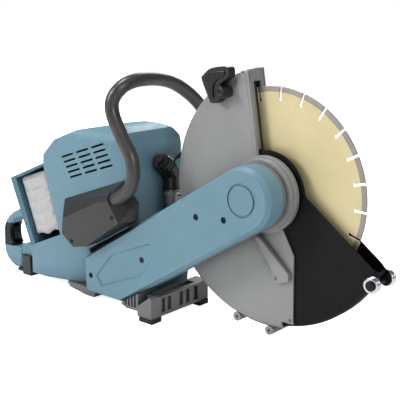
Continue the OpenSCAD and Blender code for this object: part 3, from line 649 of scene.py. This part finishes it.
def knob(bm):
    """A knob with a rounded face and a six-lobed grip."""
    sides, y_back, y_face = 72, GUARD_FACE, -38.9
    profile = [(0.2, y_face + 1.2), (2.2, y_face + 1.2), (2.6, y_face), (5.6, y_face), (6.9, y_face + 0.7),
               (7.5, y_face + 2.2), (7.5, y_back)]
    rings = []
    for r, y in profile:
        lobes = 0.5 if r > 5 else 0.0
        ring = []
        for k in range(sides):
            a = 2 * math.pi * k / sides
            d = r - lobes * (0.5 + 0.5 * math.cos(6 * a))
            ring.append(bm.verts.new(at(LEVER[0] + d * math.cos(a), y, LEVER[1] + d * math.sin(a))))
        rings.append(ring)
    cap_rings(bm, rings)


round_edges(piece("guard_knob", knob, "guard", "black_plastic", ["lever_boss"]), 0.3, 2, 50)

# ---- rollers ----
ROLLER = (177, -98)
for side, sign in (("right", -1), ("left", 1)):
    def roller(bm, sign=sign):
        near, far = 15.4, 25.9
        profile = [(4.1, near), (9.0, near)]
        for low, high in ((near, near + 4.2), (far - 4.2, far)):
            middle_y = (low + high) / 2
            profile += [(9.6 + 1.8 * math.sqrt(max(0, 1 - ((y - middle_y) / 2.1) ** 2)), y)
                        for y in (low + (high - low) * k / 10 for k in range(11))]
        profile += [(9.0, far), (7.2, far - 0.3), (7.0, far - 1.2), (4.1, far - 1.2)]
        lathe(bm, *ROLLER, [(r, sign * y) for r, y in profile], 72)
    round_edges(piece(side + "_roller_wheel", roller, side + "_roller", "bright_chrome",
                      [side + "_roller"]), 0.25, 2, 35)



# ---- water elbow ----
ELBOW = (-220.4, 20, 14.3)


def elbow_body(bm):
    """A ribbed elbow that bends from the pipe to the right, with a stub into the housing's front wall."""
    x, y, r = ELBOW
    tilt = math.radians(52)
    bent = [(x, y, z) for z in (-30, -26, -22, -18, -14, -10)]
    bent += [(x, y - 10 * (1 - math.cos(tilt * k / 6)) * 0.8, -10 + 20 * math.sin(tilt * k / 6) * 0.55)
             for k in range(1, 7)]
    bent += [(x, y - d * math.sin(tilt), d * math.cos(tilt)) for d in (12, 15, 18, 21, 24, 27, 30, 33, 35.9)]
    route = [at(*p) for p in bent]
    ribs = {0: 1.0, 1: 1.0, 2: 0.93, 3: 0.98, 4: 0.93, 5: 0.97, 13: 1.0, 14: 0.93, 15: 1.0, 16: 0.93,
            17: 1.0, 18: 0.9, 19: 0.88, 20: 0.62}
    sweep(bm, route, [r * MM * ribs.get(i, 0.97) for i in range(len(route))], 40, Vector((1, 0, 0)))
    stub = [at(-235 + 1.5 * k, y, -8) for k in range(9)]
    sweep(bm, stub, [11 * MM] * 9, 32)


round_edges(piece("water_elbow_body", elbow_body, "frame", "black_plastic", ["water_elbow"]), 0.5, 2, 30)

# ---- guard details ----
def front_rim(bm):
    """The folded rim along the front edge of the guard's right wall."""
    edge = [(-17.2, 49), (-37.0, 172.6), (-42.2, 172), (-22.4, 50)]
    slab(bm, edge, GUARD_FACE - 0.9, GUARD_FACE + 0.35)


def raised_field(bm):
    """The slightly raised field behind the front edge, as the casting has it."""
    field = [(-44, 168), (-52, 167), (-57, 160), (-58, 148), (-52, 137), (-44, 128), (-38, 116), (-32, 84),
             (-28.5, 84), (-30, 96), (-41.5, 164)]
    slab(bm, smooth_loop(field, 3), GUARD_FACE - 0.5, GUARD_FACE + 0.35)


round_edges(piece("guard_front_rim", front_rim, "guard", "guard_alloy"), 0.6, 3)
round_edges(piece("guard_raised_field", raised_field, "guard", "guard_alloy"), 0.35, 2)


def bolt_head(bm, x, z, y, r, out):
    """A round head with a hexagonal socket; out is -1 when it faces right and 1 when it faces left."""
    sides = 36
    profile = [(r, 0), (r, 0.62), (r * 0.86, 1.0), (r * 0.5, 1.0), (r * 0.46, 0.45), (0.05, 0.4)]
    height = 2.2
    rings = []
    for radius, h in profile:
        ring = []
        for k in range(sides):
            a = 2 * math.pi * k / sides
            flat = math.cos(math.pi / 6) / math.cos((a % (math.pi / 3)) - math.pi / 6)
            d = radius * (flat if 0.1 < radius <= r * 0.5 else 1)
            ring.append(bm.verts.new(at(x + d * math.cos(a), y + out * h * height, z + d * math.sin(a))))
        rings.append(ring)
    cap_rings(bm, rings)


ON_GUARD, ON_RAIL = GUARD_FACE + 0.2, -26.2     # where the screws' heads sit


def guard_screws(bm):
    screws = [(-47, 170.5, ON_GUARD, 2.1), (22, -121, ON_RAIL, 2.6), (44.5, -181.5, ON_GUARD, 2.2)]
    for x, z, y, r in screws:
        bolt_head(bm, x, z, y, r, -1)


round_edges(piece("guard_screw_heads", guard_screws, "guard", "turned_steel"), 0.15, 1)

# ---- rear handle ----
REAR_Y, REAR_HALF = -28, 14
loop_points = [(-507.6, -100), (-530, -100), (-556, -107), (-575, -116), (-588, -125), (-598, -137),
               (-604, -150), (-606, -164), (-606, -180), (-604, -196), (-597, -208), (-585, -218),
               (-572, -222), (-558, -222), (-546, -216), (-546, -176), (-562, -181), (-574, -179),
               (-580, -172), (-582, -160), (-581, -148), (-577, -139), (-567, -130), (-550, -123),
               (-530, -119), (-499.6, -118)]


def handle_loop(bm):
    slab(bm, loop_points, REAR_Y - REAR_HALF, REAR_Y + REAR_HALF)


def grip_core(bm):
    """The grip's core: the same loop, kept to the stretch that the hand closes round."""
    inner = [(-594.5, -140), (-588.5, -131.5), (-578, -137.4), (-582, -148), (-582.8, -160), (-580.6, -172),
             (-577, -178), (-588, -186), (-595.4, -180)]
    slab(bm, smooth_loop(inner, 4), REAR_Y - REAR_HALF + 0.6, REAR_Y + REAR_HALF - 0.6)


loop = piece("rear_handle_loop", handle_loop, "frame", "teal_shell", ["rear_handle"])
round_edges(loop, 7, 6)
settle(loop)
carve(loop, [(-597, -540, REAR_Y - 30, REAR_Y + 30, -182, -138),
             (-620, -596, REAR_Y - 7, REAR_Y + 7, -184, -144)])
grip = piece("rear_handle_grip", grip_core, "frame", "black_rubber", ["rear_grip"])
round_edges(grip, 6, 6)
settle(grip)
carve(grip, [(-594.5, -560, REAR_Y - 7, REAR_Y + 7, -178, -138),
             (-620, -594.6, REAR_Y - 7, REAR_Y + 7, -184, -144)])

# ---- floor ----
FLOOR_RADIUS = 40
FLOOR_GLOW = 0.9       # only to the camera, so that the floor meets the white background unseen
floor_mesh = bpy.data.meshes.new("floor")
bm = bmesh.new()
bmesh.ops.create_circle(bm, cap_ends=True, segments=64, radius=FLOOR_RADIUS)
bm.to_mesh(floor_mesh)
bm.free()
floor = bpy.data.objects.new("floor", floor_mesh)
scene.collection.objects.link(floor)
floor_tree = finish("floor_white", (0.93, 0.93, 0.93), 0.9, mottle=0.01, mottle_scale=3, grain=0.02,
                    painted_nook_shade=0)
seen_floor = floor_tree.node("ShaderNodeLightPath").outputs["Is Camera Ray"]
floor_glow = floor_tree.math("MULTIPLY", seen_floor, FLOOR_GLOW)
floor_tree.link(floor_glow, floor_tree.bsdf.inputs["Emission Strength"])
floor_tree.bsdf.inputs["Emission Color"].default_value = (1, 1, 1, 1)
floor_mesh.materials.append(floor_tree.material)
